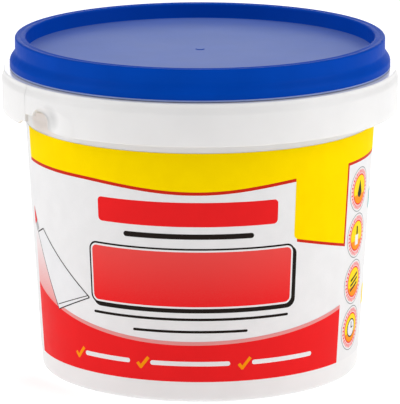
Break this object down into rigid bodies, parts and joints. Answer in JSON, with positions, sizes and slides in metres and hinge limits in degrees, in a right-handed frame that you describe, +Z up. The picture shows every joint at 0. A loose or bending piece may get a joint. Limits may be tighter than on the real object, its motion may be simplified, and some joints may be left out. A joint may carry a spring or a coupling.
{
  "type": "wall filler tub",
  "caption": "Round tapered plastic tub of wall filler with a deep collar, tear-off tab, finger notch and press-on lid with a sunk top.",
  "frame": {"origin": "middle of the underside of the foot ring, on the tub's axis", "axes": "+Z up along the tub's axis, -Y towards the front where the label's title sits, -X towards the tear-off tab"},
  "size_m": [0.12, 0.12, 0.1019],
  "materials": {
    "white_pp": "satin",
    "blue_pp": "satin",
    "film": "satin",
    "paste": "matte"
  },
  "bodies": {
    "tub": {"tub": "white_pp", "label": "film", "filler": "paste", "snap_bridges": "white_pp"},
    "tear_tab": {"tear_tab": "white_pp"},
    "lid": {"lid": "blue_pp"}
  },
  "joints": [
    {"name": "lid_lift", "type": "slide", "parent": "tub", "child": "lid", "axis": [0, 0, 1], "range_m": [0, 0.045]},
    {"name": "tab_tear", "type": "hinge", "parent": "tub", "child": "tear_tab", "pos_m": [-0.05007, 0.03306, 0.086], "axis": [0, 0, -1], "range_deg": [0, 70]}
  ]
}
